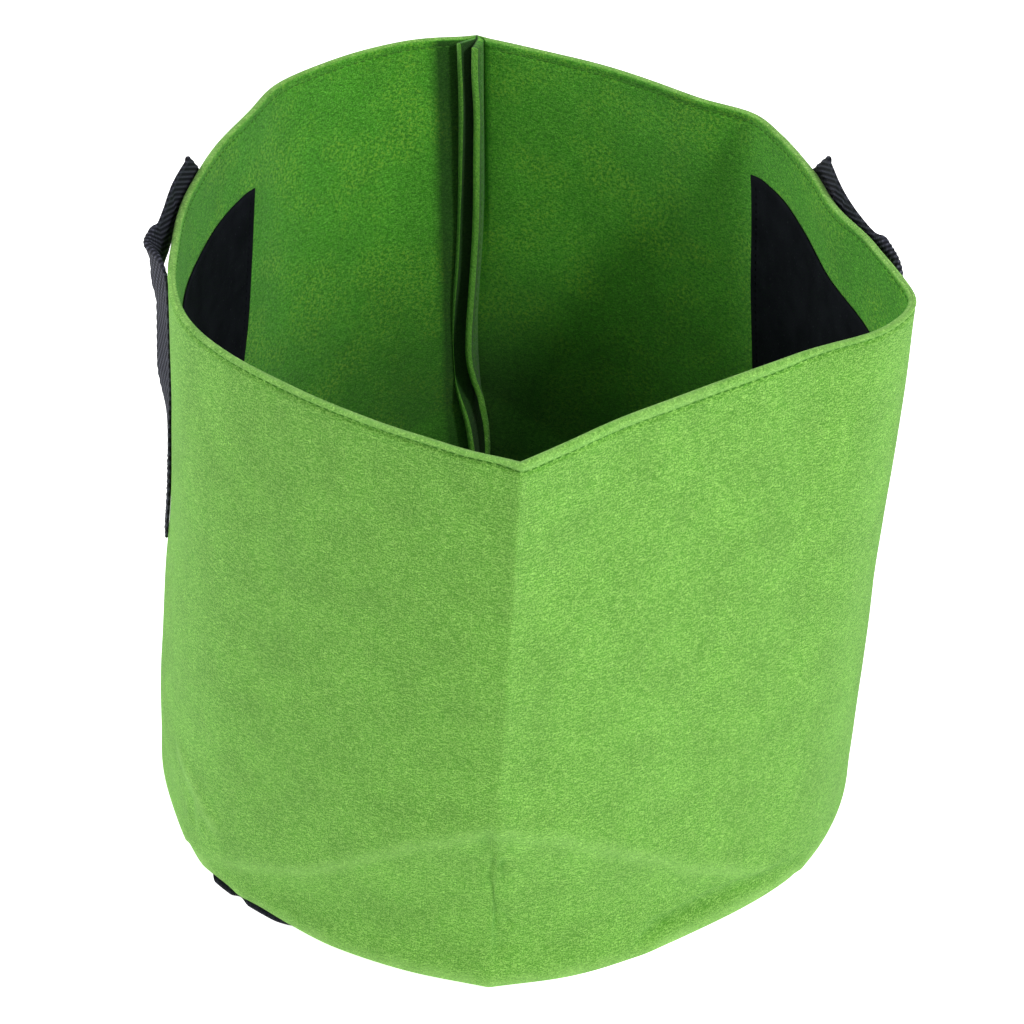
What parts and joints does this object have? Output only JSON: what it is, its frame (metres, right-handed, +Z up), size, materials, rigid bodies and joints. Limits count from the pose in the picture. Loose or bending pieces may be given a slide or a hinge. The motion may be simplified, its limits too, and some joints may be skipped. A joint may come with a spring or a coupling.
{
  "type": "fabric grow bag",
  "caption": "Round felt planter bag with an open top, a stitched back seam, a flat base and webbing carry handles that swing on the wall.",
  "frame": {"origin": "on the floor under the middle of the flat base", "axes": "+Z up; -Y towards the front fold crease; the back seam is at +Y; the handles are at -X (left) and +X (right)"},
  "size_m": [0.3621, 0.3875, 0.308],
  "materials": {
    "green_felt": "needled felt",
    "black_felt": "needled felt",
    "patch_fabric": "smooth non-woven",
    "black_webbing": "ribbed webbing",
    "green_thread": "sewing thread",
    "black_thread": "sewing thread"
  },
  "bodies": {
    "bag": {"wall_panel": "green_felt", "base_panel": "black_felt", "rim_topstitch": "green_thread", "base_seam_stitch": "green_thread", "back_seam_needle_thread": "green_thread", "back_seam_bobbin_thread": "green_thread", "left_backing_patch": "patch_fabric", "left_patch_stitch": "black_thread", "left_handle_front_leg": "black_webbing", "left_front_box_stitch": "black_thread", "left_handle_rear_leg": "black_webbing", "left_rear_box_stitch": "black_thread", "right_backing_patch": "patch_fabric", "right_patch_stitch": "black_thread", "right_handle_front_leg": "black_webbing", "right_front_box_stitch": "black_thread", "right_handle_rear_leg": "black_webbing", "right_rear_box_stitch": "black_thread"},
    "left_loop": {"left_handle_loop": "black_webbing"},
    "right_loop": {"right_handle_loop": "black_webbing"}
  },
  "joints": [
    {"name": "left_handle_swing", "type": "hinge", "parent": "bag", "child": "left_loop", "pos_m": [-0.15896, 0.02519, 0.2], "axis": [-0.103, -0.9947, 0], "range_deg": [0, 150]},
    {"name": "right_handle_swing", "type": "hinge", "parent": "bag", "child": "right_loop", "pos_m": [0.16699, 0.02715, 0.2], "axis": [-0.2607, 0.9654, 0], "range_deg": [0, 150]}
  ]
}
